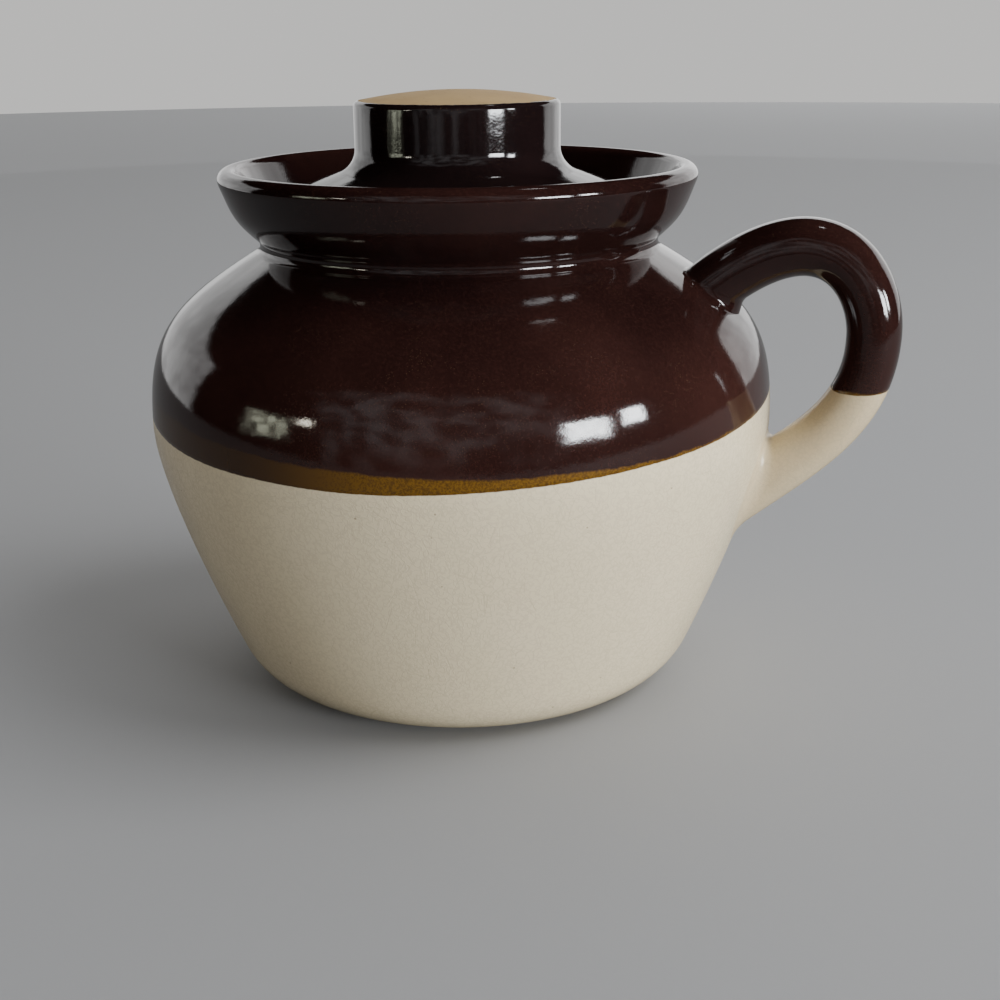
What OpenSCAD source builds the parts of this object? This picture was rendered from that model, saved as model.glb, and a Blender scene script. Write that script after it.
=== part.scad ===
// Stoneware bean pot: a round-bellied pot with a flared collar, one ear-shaped
// strap handle, and a loose lid that sits on a ledge inside the collar.
// The pot stands on z = 0 with its axis on Z, and the handle points along +X.

/* [Pot wall] */
// Widest diameter, at the belly
belly_d = 178; // [165:1:195]
// Height of the widest place
belly_h = 78; // [70:1:84]
// Diameter of the flat that the pot stands on
foot_d = 99; // [90:1:108]
// Rounding between the flat foot and the wall
foot_round = 20; // [15:1:24]
// Lean of the lower wall away from upright, just above the foot
wall_flare = 24; // [18:1:28]
// How far the lower wall keeps its lean before it starts to curve
low_ease = 19; // [12:1:26]
// How far the wall stays upright below the belly
belly_ease = 14; // [9:1:20]
// How far the wall stays upright above the belly
upper_ease = 25.5; // [20:0.5:30]
// How far the shoulder stays straight below the neck
shoulder_ease = 28.5; // [22:0.5:34]
// Slope of the shoulder where it meets the neck
shoulder_slope = 31; // [26:1:36]
// Thickness of the wall
wall = 6; // [4.5:0.5:8]
// Thickness of the floor
floor_t = 7; // [5:0.5:10]

/* [Neck and collar] */
// Diameter at the bottom of the groove under the collar
neck_d = 112.4; // [109:0.2:118]
// Height of the groove under the collar
neck_h = 126.4; // [122:0.2:134]
// Rounding of the groove
groove_round = 2.6; // [1.2:0.1:3.2]
// Slope of the collar's outside where it leaves the groove
groove_slope = 42; // [28:1:55]
// Outer diameter of the rim
rim_d = 133.6; // [130:0.2:140]
// Height of the rim above the groove
collar_h = 21; // [19:0.1:23]
// Rounding of the lip
lip_round = 3; // [2.2:0.1:3.2]
// Lean of the collar's outside away from upright
collar_flare = 21; // [15:1:24]
// Length of the straight, flared outside of the collar
collar_face = 4.5; // [3:0.5:7]
// How sharply the collar's outside bends between its slope and its lean
collar_bend = 0.42; // [0.3:0.02:0.5]
// Lean of the collar's inside away from upright
seat_flare = 22; // [18:1:26]
// Height of the lid's ledge above the groove
ledge_rise = 6.4; // [5.5:0.1:8]
// Diameter of the mouth inside the ledge
mouth_d = 101; // [96:0.5:103]
// Rounding of the mouth's upper edge
mouth_round = 1.2; // [0.6:0.1:2]

/* [Lid] */
// Gap between the lid's edge and the collar, at the ledge
lid_gap = 1.3; // [0.6:0.1:2]
// Height of the lid's edge
lid_edge = 5; // [4:0.1:6.5]
// Rounding of the lid's upper edge
lid_round = 2; // [1:0.1:3]
// Slope of the lid's top
lid_slope = 19.4; // [14:0.2:24]
// Thickness of the lid
lid_wall = 5.5; // [4.5:0.1:7]
// Gap between the locating ring and the mouth
ring_gap = 1.2; // [0.6:0.1:2]
// Thickness of the locating ring under the lid
ring_wall = 4.6; // [3.5:0.1:6]
// Height of the locating ring below the ledge
ring_h = 7.5; // [5:0.5:10]

/* [Knob] */
// Diameter of the knob
knob_d = 57.2; // [50:0.2:64]
// Height of the knob's side above its hollow root
knob_h = 12.5; // [10:0.2:16]
// Rise of the knob's domed top
knob_dome = 2.6; // [1.5:0.1:5]
// Rounding of the knob's top edge
knob_round = 1.5; // [0.8:0.1:2.4]
// Radius of the hollow curve at the knob's root
cove_r = 7.3; // [5:0.1:9]

/* [Handle] */
// Height at which the handle's centre line leaves the shoulder
root_h = 115; // [112:0.1:118]
// Angle at which it rises from the shoulder
root_rise = 40; // [30:1:48]
// How far it keeps that direction
root_ease = 40; // [32:0.5:44]
// Reach of the centre line beyond the belly
reach = 27.2; // [22:0.2:34]
// Height of the outermost place of the centre line
reach_h = 104; // [98:0.5:108]
// How far the centre line stays upright above that place
reach_up = 15; // [10:0.5:20]
// How far it stays upright below that place
reach_down = 21.5; // [16:0.5:28]
// Height at which the centre line meets the wall again
tail_h = 57.5; // [50:0.5:66]
// Angle at which it comes down to the wall
tail_fall = 41; // [32:1:50]
// How far it keeps that direction
tail_ease = 21; // [14:0.5:26]
// Thickness of the grip, from the finger side to the outside
grip_t = 16; // [13:0.1:18]
// Width of the grip
grip_w = 19; // [16:0.5:24]
// Thickness of the tail
tail_t = 12.6; // [11:0.1:15]
// Width of the tail
tail_w = 17; // [14:0.5:22]
// Extra half width where the handle is pressed on at the shoulder
root_spread = 6; // [3:0.5:9]
// Extra half width where it is pressed on at the wall
tail_spread = 4.5; // [2:0.5:7]
// Extra half thickness at the shoulder
root_swell = 0.6; // [0.2:0.1:2]
// Extra half thickness at the wall
tail_swell = 2.4; // [1:0.1:3.5]
// Length over which the ends spread out
spread_len = 16; // [10:0.5:22]

/* [Hidden] */
$fn = 96;

// Number of steps in a long curve, in a rounding, and along and around the handle
curve_steps = 16;
round_steps = 6;
path_steps = 18;
ring_sides = 28;
// Length of handle that lies inside the wall before it is trimmed to the wall
sunk = 12;

belly_r = belly_d / 2;
foot_r = foot_d / 2;
neck_r = neck_d / 2;
mouth_r = mouth_d / 2;
knob_r = knob_d / 2;
rim_h = neck_h + collar_h;
ledge_h = neck_h + ledge_rise;

// Point at a distance from p in the direction of an angle
function polar(p, length, angle) = p + length * [cos(angle), sin(angle)];

// Arc as points around a centre
function arc(centre, radius, from, to, steps) =
    [for (i = [0 : steps]) polar(centre, radius, from + (to - from) * i / steps)];

// Cubic curve from a to b, leaving along one angle and arriving along the other
function curve_at(a, a_arm, b_arm, b, t) =
    pow(1 - t, 3) * a + 3 * t * pow(1 - t, 2) * a_arm
    + 3 * t * t * (1 - t) * b_arm + pow(t, 3) * b;
function curve(a, a_angle, a_ease, b, b_angle, b_ease, steps) =
    [for (i = [0 : steps])
        curve_at(a, polar(a, a_ease, a_angle), polar(b, -b_ease, b_angle), b, i / steps)];

// Ease of the same curve on the inside of the wall, for the angle it turns through
function inner_ease(ease, turn) = ease - 4 / 3 * tan(turn / 4) * wall;

// List of points without its first
function rest(points) = [for (i = [1 : len(points) - 1]) points[i]];
function reversed(points) = [for (i = [len(points) - 1 : -1 : 0]) points[i]];

// Directions, as angles in the section plane
low_angle = 90 - wall_flare;
shoulder_angle = 180 - shoulder_slope;
collar_angle = 90 - collar_flare;

// Outside of the pot, from the foot up to the top of the lip
foot_centre = [foot_r, foot_round];
groove_centre = [neck_r + groove_round, neck_h];
lip_centre = [rim_d / 2 - lip_round, rim_h - lip_round];
heel = arc(foot_centre, foot_round, -90, -wall_flare, round_steps);
belly = [belly_r, belly_h];
groove = arc(groove_centre, groove_round, shoulder_angle + 90, groove_slope + 90, round_steps);
low_wall = curve(heel[round_steps], low_angle, low_ease, belly, 90, belly_ease, curve_steps);
high_wall = curve(belly, 90, upper_ease, groove[0], shoulder_angle, shoulder_ease, curve_steps);
lip = arc(lip_centre, lip_round, -collar_flare, 180 - seat_flare, 2 * round_steps);
collar_foot = groove[round_steps];
bend_end = polar(lip[0], -collar_face, collar_angle);
bend_ease = norm(bend_end - collar_foot) * collar_bend;
bend = curve(collar_foot, groove_slope, bend_ease, bend_end, collar_angle, bend_ease,
    curve_steps);
outside = concat(heel, rest(low_wall), rest(high_wall), rest(groove), rest(bend));

// Inside of the collar, down to the ledge
seat_drop = lip[2 * round_steps][1] - ledge_h;
seat_r = lip[2 * round_steps][0] - seat_drop * tan(seat_flare);

// Inside of the pot, from the neck down to the floor
inner_round = foot_round - wall;
inner_heel = arc([foot_r, floor_t + inner_round], inner_round, -90, -wall_flare, round_steps);
inner_belly = [belly_r - wall, belly_h];
inner_neck = polar(groove[0], -wall, shoulder_angle - 90);
inner_low = curve(inner_heel[round_steps], low_angle, inner_ease(low_ease, wall_flare),
    inner_belly, 90, inner_ease(belly_ease, wall_flare), curve_steps);
inner_high = curve(inner_belly, 90, inner_ease(upper_ease, 90 - shoulder_slope),
    inner_neck, shoulder_angle, inner_ease(shoulder_ease, 90 - shoulder_slope), curve_steps);
mouth_low = [mouth_r, inner_neck[1] + (inner_neck[0] - mouth_r) * tan(shoulder_slope)];
mouth_edge = arc([mouth_r + mouth_round, ledge_h - mouth_round], mouth_round, 90, 180, round_steps);
inside = concat([[seat_r, ledge_h]], mouth_edge, [mouth_low],
    reversed(inner_high), rest(reversed(inner_low)), rest(reversed(inner_heel)));

module pot_body() {
    color("wheat")
    rotate_extrude()
    polygon(concat([[0, 0]], outside, lip, inside, [[0, floor_t]]));
}

// The pot's outside as a full solid, which the handle's ends are shaped to
module pot_outline() {
    rotate_extrude()
    polygon(concat([[0, 0]], outside, lip, [[0, rim_h]]));
}

// Centre line of the handle in the XZ plane
root = [lookup(root_h, [for (p = high_wall) [p[1], p[0]]]), root_h];
tail = [lookup(tail_h, [for (p = low_wall) [p[1], p[0]]]), tail_h];
far = [belly_r + reach, reach_h];
rising = curve(root, root_rise, root_ease, far, -90, reach_up, path_steps);
falling = curve(far, -90, reach_down, tail, tail_fall + 180, tail_ease, path_steps);
path = concat([polar(root, -sunk, root_rise)], rising, rest(falling),
    [polar(tail, sunk, tail_fall + 180)]);
last = len(path) - 1;

// Distance along the centre line from its first point to each point
function run(i) = i == 0 ? 0 : run(i - 1) + norm(path[i] - path[i - 1]);
along = [for (i = [0 : last]) run(i)];

// Direction of the centre line at a point
function heading(i) = let(step = path[min(i + 1, last)] - path[max(i - 1, 0)])
    atan2(step[1], step[0]);

// Ease from 0 to 1, and the spread of an end, which fades like a fillet
function eased(t) = t * t * (3 - 2 * t);
function spread(distance) = pow(max(0, 1 - max(0, distance) / spread_len), 2);

// Half width and half thickness of the handle at a point
function share(i) = eased(along[i] / along[last]);
function at_root(i) = spread(along[i] - sunk);
function at_tail(i) = spread(along[last] - sunk - along[i]);
function half_w(i) = (grip_w + (tail_w - grip_w) * share(i)) / 2
    + root_spread * at_root(i) + tail_spread * at_tail(i);
function half_t(i) = (grip_t + (tail_t - grip_t) * share(i)) / 2
    + root_swell * at_root(i) + tail_swell * at_tail(i);

// One oval ring of the handle, square to the centre line
function ring(i) = let(side = heading(i) + 90)
    [for (k = [0 : ring_sides - 1])
        let(a = 360 * k / ring_sides, p = polar(path[i], half_t(i) * cos(a), side))
        [p[0], half_w(i) * sin(a), p[1]]];

// Closed solid through a list of rings
module loft(rings) {
    sides = len(rings[0]);
    top = len(rings) - 1;
    walls = [for (i = [0 : top - 1], k = [0 : sides - 1])
        let(a = i * sides + k, b = i * sides + (k + 1) % sides)
        each [[a, b, b + sides], [a, b + sides, a + sides]]];
    caps = [[for (k = [sides - 1 : -1 : 0]) k], [for (k = [0 : sides - 1]) top * sides + k]];
    polyhedron([for (r = rings, p = r) p], concat(walls, caps), convexity = 4);
}

module handle() {
    color("saddlebrown")
    difference() {
        loft([for (i = [0 : last]) ring(i)]);
        pot_outline();
    }
}

// Lid, from its edge in to the root of the knob
lid_r = seat_r - lid_gap;
edge_h = ledge_h + lid_edge;
function lid_top(r) = edge_h + (lid_r - r) * tan(lid_slope);
function lid_under(r) = lid_top(r) - lid_wall / cos(lid_slope);
cove_centre = [knob_r + cove_r, lid_top(knob_r + cove_r) + cove_r / cos(lid_slope)];
cove = arc(cove_centre, cove_r, 270 - lid_slope, 180, round_steps);
knob_root_h = cove_centre[1];

// Rounded upper edge of the lid, tangent to its side and to its sloping top
edge_setback = lid_round * tan((90 - lid_slope) / 2);
edge_centre = [lid_r - lid_round, edge_h - edge_setback];
lid_shoulder = arc(edge_centre, lid_round, 0, 90 - lid_slope, round_steps);

// Locating ring, which hangs inside the mouth
ring_r = mouth_r - ring_gap;
ring_inner_r = ring_r - ring_wall;
ring_round = ring_wall / 2;
ring_foot = arc([ring_r - ring_round, ledge_h - ring_h + ring_round], ring_round, -180, 0,
    2 * round_steps);

module lid() {
    color("sienna")
    rotate_extrude()
    polygon(concat(
        [[0, lid_under(knob_r)], [knob_r, lid_under(knob_r)]],
        [[ring_inner_r, lid_under(ring_inner_r)]],
        ring_foot,
        [[ring_r, ledge_h], [lid_r, ledge_h]],
        lid_shoulder, cove,
        [[0, knob_root_h]]));
}

// Knob, with a rounded top edge and a domed top
knob_top = knob_root_h + knob_h;
dome_edge = knob_r - knob_round;
dome_radius = (dome_edge * dome_edge + knob_dome * knob_dome) / (2 * knob_dome);
dome_angle = asin(dome_edge / dome_radius);
dome = arc([0, knob_top + knob_dome - dome_radius], dome_radius, 90 - dome_angle, 90, round_steps);
knob_edge = arc([dome_edge, knob_top - knob_round], knob_round, 0, 90, round_steps);

module lid_knob() {
    color("peru")
    rotate_extrude()
    polygon(concat([[0, knob_root_h], [knob_r, knob_root_h]], knob_edge, rest(dome)));
}

pot_body();
handle();
lid();
lid_knob();
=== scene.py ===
"""Stoneware bean pot in two glazes, with an ear-shaped handle and a loose lid with a flat knob.

The pot stands on z = 0 with its axis on Z, and the handle points along +X. Lengths are in metres.
"""

import logging
import math
from bisect import bisect_left
from dataclasses import dataclass
from enum import Enum
from typing import Callable, Optional, Sequence

import bmesh
import bpy
from bmesh.types import BMesh
from bpy.types import ID, Material, Node, NodeSocket, Object
from mathutils import Matrix, Vector
from mathutils.kdtree import KDTree


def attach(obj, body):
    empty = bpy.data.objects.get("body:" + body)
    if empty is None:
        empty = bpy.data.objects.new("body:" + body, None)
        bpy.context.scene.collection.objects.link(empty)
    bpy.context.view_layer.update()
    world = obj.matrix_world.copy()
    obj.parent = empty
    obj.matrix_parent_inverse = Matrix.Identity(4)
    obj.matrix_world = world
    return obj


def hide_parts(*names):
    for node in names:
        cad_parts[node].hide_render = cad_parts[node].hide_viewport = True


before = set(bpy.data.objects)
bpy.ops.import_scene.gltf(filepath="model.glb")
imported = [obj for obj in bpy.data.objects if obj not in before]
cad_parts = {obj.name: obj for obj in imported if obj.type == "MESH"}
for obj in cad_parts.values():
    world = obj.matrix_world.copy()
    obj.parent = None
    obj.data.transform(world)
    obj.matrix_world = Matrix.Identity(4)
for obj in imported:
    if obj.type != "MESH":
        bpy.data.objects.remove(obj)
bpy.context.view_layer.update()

logging.basicConfig(level=logging.INFO, format="%(name)s: %(message)s")
log = logging.getLogger("bean_pot")

Point = tuple[float, float]
Span = tuple[float, float]
Colour = tuple[float, float, float]

MM = 0.001
# Smallest angle at which an edge stays sharp, in degrees
CREASE = 50.0
# Distance under which the corners of a turned skin are one
MERGE = 1e-6
# Depth of the glaze's uneven surface
GLAZE_DEPTH = 0.22 * MM
GLAZE_IOR = 1.5
UP: Colour = (0.0, 0.0, 1.0)


class Body(Enum):
    """The two bodies that move apart when the lid is lifted."""

    POT = "pot"
    COVER = "cover"


class Turn(Enum):
    """Number of steps that a turned piece is spun in."""

    WIDE = 288
    SMALL = 192


class Coat(Enum):
    """The pot's materials, by their number on its faces."""

    OUTSIDE = 0
    INSIDE = 1
    FOOT = 2


# ---- outlines


def polar(point: Point, length: float, angle: float) -> Point:
    """Returns the point at a length from another, in the direction of an angle in degrees."""
    turn = math.radians(angle)
    return (point[0] + length * math.cos(turn), point[1] + length * math.sin(turn))


def arc(centre: Point, radius: float, start: float, end: float, steps: int) -> list[Point]:
    """Returns the points of an arc about a centre, from one angle in degrees to another."""
    return [polar(centre, radius, start + (end - start) * i / steps) for i in range(steps + 1)]


def curve(
    start: Point,
    start_angle: float,
    start_ease: float,
    end: Point,
    end_angle: float,
    end_ease: float,
    steps: int,
) -> list[Point]:
    """Works out a cubic curve between two points.

    Args:
        start: First point.
        start_angle: Direction in which the curve leaves it, in degrees.
        start_ease: How far it keeps that direction.
        end: Last point.
        end_angle: Direction in which the curve arrives.
        end_ease: How far it has had that direction.
        steps: Number of steps.

    Returns:
        The points from start to end.
    """
    leaving = polar(start, start_ease, start_angle)
    arriving = polar(end, -end_ease, end_angle)
    arms = [Vector(point) for point in (start, leaving, arriving, end)]
    points = []
    for i in range(steps + 1):
        t = i / steps
        weights = ((1 - t) ** 3, 3 * t * (1 - t) ** 2, 3 * t * t * (1 - t), t**3)
        place = sum((arm * weight for arm, weight in zip(arms, weights)), Vector((0.0, 0.0)))
        points.append((place.x, place.y))
    return points


def between(start: Point, end: Point, steps: int) -> list[Point]:
    """Returns the points of a straight line in even steps, without its ends."""
    across, rise = end[0] - start[0], end[1] - start[1]
    return [(start[0] + across * i / steps, start[1] + rise * i / steps) for i in range(1, steps)]


def radius_at(outline: Sequence[Point], height: float) -> float:
    """Returns the radius of a rising outline at a height."""
    for low, high in zip(outline, outline[1:]):
        if low[1] <= height <= high[1] and high[1] > low[1]:
            share = (height - low[1]) / (high[1] - low[1])
            return low[0] + (high[0] - low[0]) * share
    return outline[-1][0]


# ---- meshes


def turned(outline: Sequence[Point], steps: int) -> BMesh:
    """Spins an outline about the Z axis into a closed skin.

    Args:
        outline: Points as (radius, height); its ends lie on the axis.
        steps: Number of steps in the full turn.

    Returns:
        The closed mesh, with its faces pointing outwards.
    """
    skin = bmesh.new()
    corners = [skin.verts.new((radius, 0.0, height)) for radius, height in outline]
    edges = [skin.edges.new(pair) for pair in zip(corners, corners[1:])]
    bmesh.ops.spin(
        skin,
        geom=corners + edges,
        cent=(0, 0, 0),
        axis=(0, 0, 1),
        dvec=(0, 0, 0),
        angle=math.tau,
        steps=steps,
        use_merge=True,
        use_duplicate=False,
    )
    bmesh.ops.remove_doubles(skin, verts=skin.verts, dist=MERGE)
    bmesh.ops.recalc_face_normals(skin, faces=skin.faces)
    return skin


def placed(name: str, data: ID) -> Object:
    """Returns a new object, linked to the scene."""
    thing = bpy.data.objects.new(name, data)
    bpy.context.scene.collection.objects.link(thing)
    return thing


def finished(skin: BMesh, name: str, materials: Sequence[Material]) -> Object:
    """Turns a mesh into a smooth-shaded object at the origin.

    Args:
        skin: The mesh, which is freed.
        name: Name of the piece.
        materials: Its materials, in the order of the faces' material numbers.

    Returns:
        The object.
    """
    for face in skin.faces:
        face.smooth = True
    mesh = bpy.data.meshes.new(name)
    skin.to_mesh(mesh)
    skin.free()
    for material in materials:
        mesh.materials.append(material)
    mesh.set_sharp_from_angle(angle=math.radians(CREASE))
    piece = placed(name, mesh)
    log.info("%s: %d faces", name, len(mesh.polygons))
    return piece


def fitted(piece: Object, body: Body, node: str) -> None:
    """Puts a piece in the place of a node: on its body, with the node hidden."""
    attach(piece, body.value)
    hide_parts(node)


@dataclass(frozen=True)
class Contact:
    """How a point lies against the pot: its gap from the wall and the wall's outward direction."""

    gap: float
    normal: Vector


class Wall:
    """The turned outside of the pot, as the ends of the handle meet it."""

    def __init__(self, outline: Sequence[Point], spacing: float = 0.2 * MM) -> None:
        """Samples an outline.

        Args:
            outline: Points as (radius, height), going up.
            spacing: Distance between the samples.
        """
        points = [Vector(point) for point in outline]
        steps = [after - before for before, after in zip(points, points[1:])]
        bends = [a.normalized() + b.normalized() for a, b in zip(steps, steps[1:])]
        turns = [steps[0]] + bends + [steps[-1]]
        normals = [Vector((turn.y, -turn.x)).normalized() for turn in turns]
        self.samples: list[tuple[Vector, Vector]] = []
        for i, step in enumerate(steps):
            count = max(1, round(step.length / spacing))
            for k in range(count):
                normal = normals[i].lerp(normals[i + 1], k / count).normalized()
                self.samples.append((points[i].lerp(points[i + 1], k / count), normal))
        self.tree = KDTree(len(self.samples))
        for i, (point, _) in enumerate(self.samples):
            self.tree.insert((point.x, 0.0, point.y), i)
        self.tree.balance()

    def contact(self, spot: Vector) -> Contact:
        """Returns how a point lies against the wall."""
        radius = math.hypot(spot.x, spot.y)
        _, i, _ = self.tree.find((radius, 0.0, spot.z))
        point, normal = self.samples[i]
        gap = (Vector((radius, spot.z)) - point).dot(normal)
        return Contact(gap, Vector((normal.x * spot.x / radius, normal.x * spot.y / radius, normal.y)))


@dataclass(frozen=True)
class Joint:
    """How an end of the handle is pressed on.

    Attributes:
        side: How far it spreads to each side.
        up: How far it spreads upwards.
        down: How far it spreads downwards.
        edge: Thickness of its lower lip, or 0 for none.
        soften: Rounding where the lip starts.
        tuck: How far its rim may run on under the wall.
        least_way: Shortest way along the wall in which a point is spread.
        least_opening: Least rise of the handle from the wall.
    """

    side: float
    up: float
    down: float
    edge: float
    soften: float = 0.7 * MM
    tuck: float = 3 * MM
    least_way: float = 0.01
    least_opening: float = 0.05

    def pressed(self, spot: Vector, outwards: Vector, away: Vector, wall: Wall) -> Vector:
        """Spreads a point of the handle along the wall, as a ball rolled around the joint would leave it.

        Args:
            spot: Point on the plain handle.
            outwards: Direction away from its centre line.
            away: Direction of the centre line, away from the pot.
            wall: Outside of the pot.

        Returns:
            The point on the spread handle.
        """
        contact = wall.contact(spot)
        along = outwards - contact.normal * outwards.dot(contact.normal)
        if along.length < self.least_way:
            return spot
        along.normalize()
        flank = outwards.y**2
        spread = self.side * flank + (self.up if outwards.z > 0 else self.down) * (1 - flank)
        rise = max(self.least_opening, away.dot(contact.normal))
        opening = math.atan2(rise, away.dot(along))
        excess = contact.gap - self.edge
        lipped = self.edge + (excess + math.hypot(excess, self.soften)) / 2
        share = max(0.0, -outwards.z) ** 2 if self.edge else 0.0
        gap = contact.gap + (lipped - contact.gap) * share
        if gap >= spread * math.sin(opening):
            return spot
        ball = spread * math.tan(opening / 2)
        depth = min(ball, abs(gap))
        bow = math.copysign(math.sqrt(ball**2 - (ball - depth) ** 2), gap)
        moved = spot + along * (spread - max(bow, -self.tuck) - gap / math.tan(opening))
        landed = wall.contact(moved)
        return moved + landed.normal * (contact.gap - landed.gap)


# ---- material graphs


class Graph:
    """The node graph of a material or of the world."""

    def __init__(self, owner: ID) -> None:
        """Clears the graph of a new material or world."""
        self.owner = owner
        owner.use_nodes = True
        self.tree = owner.node_tree
        self.tree.nodes.clear()

    @classmethod
    def new(cls, name: str) -> "Graph":
        """Starts a material."""
        return cls(bpy.data.materials.new(name))

    def node(self, kind: str, inputs: Optional[dict] = None, **settings) -> Node:
        """Adds a node.

        Args:
            kind: Type of the node.
            inputs: Values or sockets for its inputs, by name or number.
            **settings: Its other settings.

        Returns:
            The node.
        """
        made = self.tree.nodes.new(kind)
        for key, value in settings.items():
            setattr(made, key, value)
        for key, value in (inputs or {}).items():
            if isinstance(value, NodeSocket):
                self.tree.links.new(value, made.inputs[key])
            elif made.inputs[key].type == "RGBA":
                made.inputs[key].default_value = (*value, 1.0)
            else:
                made.inputs[key].default_value = value
        return made

    def place(self) -> NodeSocket:
        """Returns the place on the object, in metres."""
        return self.node("ShaderNodeTexCoord").outputs["Object"]

    def math(self, operation: str, a, b=0.0, c=0.0) -> NodeSocket:
        """Returns a sum of up to three values or sockets, by Blender's name for it."""
        return self.node("ShaderNodeMath", {0: a, 1: b, 2: c}, operation=operation).outputs[0]

    def along(self, direction: Colour) -> NodeSocket:
        """Returns how far a place lies along a direction."""
        dot = self.node("ShaderNodeVectorMath", {0: self.place(), 1: direction}, operation="DOT_PRODUCT")
        return dot.outputs["Value"]

    def step(self, value, low: float, high: float) -> NodeSocket:
        """Returns a soft step of a value, from 0 at low to 1 at high."""
        return self.ramp(value, low, high, "SMOOTHSTEP")

    def ramp(self, value, low: float, high: float, kind: str = "LINEAR") -> NodeSocket:
        """Returns a rise of a value, from 0 at low to 1 at high, even unless kind says otherwise."""
        inputs = {"Value": value, "From Min": low, "From Max": high}
        return self.node("ShaderNodeMapRange", inputs, interpolation_type=kind).outputs["Result"]

    def times(self, a, b) -> NodeSocket:
        """Returns the product of two values."""
        return self.math("MULTIPLY", a, b)

    def blend(self, share, a, b) -> NodeSocket:
        """Returns a blend of two values, from a at 0 to b at 1."""
        return self.math("MULTIPLY_ADD", self.math("SUBTRACT", b, a), share, a)

    def mix(self, share, a, b) -> NodeSocket:
        """Returns a blend of two colours, from a at 0 to b at 1."""
        return self.node("ShaderNodeMix", {0: share, 6: a, 7: b}, data_type="RGBA").outputs[2]

    def noise(self, size: float, detail: float = 3.0, roughness: float = 0.5) -> NodeSocket:
        """Returns noise from 0 to 1, whose patches are about as large as size."""
        inputs = {"Vector": self.place(), "Scale": 1 / size, "Detail": detail, "Roughness": roughness}
        return self.node("ShaderNodeTexNoise", inputs).outputs["Fac"]

    def wobble(self, amount: float, size: float, detail: float, roughness: float = 0.5) -> NodeSocket:
        """Returns noise about 0, which reaches half of amount each way."""
        return self.times(self.math("SUBTRACT", self.noise(size, detail, roughness), 0.5), amount)

    def cells(self, size: float, feature: str) -> NodeSocket:
        """Returns the distance of a place in a pattern of cells, in cell widths."""
        inputs = {"Vector": self.place(), "Scale": 1 / size}
        return self.node("ShaderNodeTexVoronoi", inputs, feature=feature).outputs["Distance"]

    def finish(self, colour, roughness, height, depth: float) -> Material:
        """Ends the graph in a glossy surface.

        Args:
            colour: Base colour.
            roughness: Roughness.
            height: Height of the surface, from 0 to 1.
            depth: Depth of that height, in metres.

        Returns:
            The material.
        """
        bump = self.node("ShaderNodeBump", {"Strength": 1.0, "Distance": depth, "Height": height})
        inputs = {"Base Color": colour, "Roughness": roughness, "Normal": bump.outputs["Normal"]}
        surface = self.node("ShaderNodeBsdfPrincipled", inputs)
        surface.inputs["IOR"].default_value = GLAZE_IOR
        self.node("ShaderNodeOutputMaterial", {"Surface": surface.outputs["BSDF"]})
        return self.owner


# ---- finishes


@dataclass(frozen=True)
class DipLine:
    """The edge of the brown glaze, where the pot was dipped at a slant."""

    height: float = 85.3 * MM
    tilt_x: float = 0.008
    tilt_y: float = 0.083
    wander: float = 1.1 * MM
    wander_size: float = 45 * MM
    fray: float = 0.35 * MM
    fray_size: float = 2.2 * MM

    def above(self, graph: Graph) -> NodeSocket:
        """Returns the distance above the line, in metres."""
        slant = graph.along((-self.tilt_x, -self.tilt_y, 1.0))
        bend = graph.wobble(self.wander, self.wander_size, 1.0)
        edge = graph.wobble(self.fray, self.fray_size, 4.0)
        level = graph.math("SUBTRACT", slant, self.height)
        return graph.math("ADD", level, graph.math("ADD", bend, edge))


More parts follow.
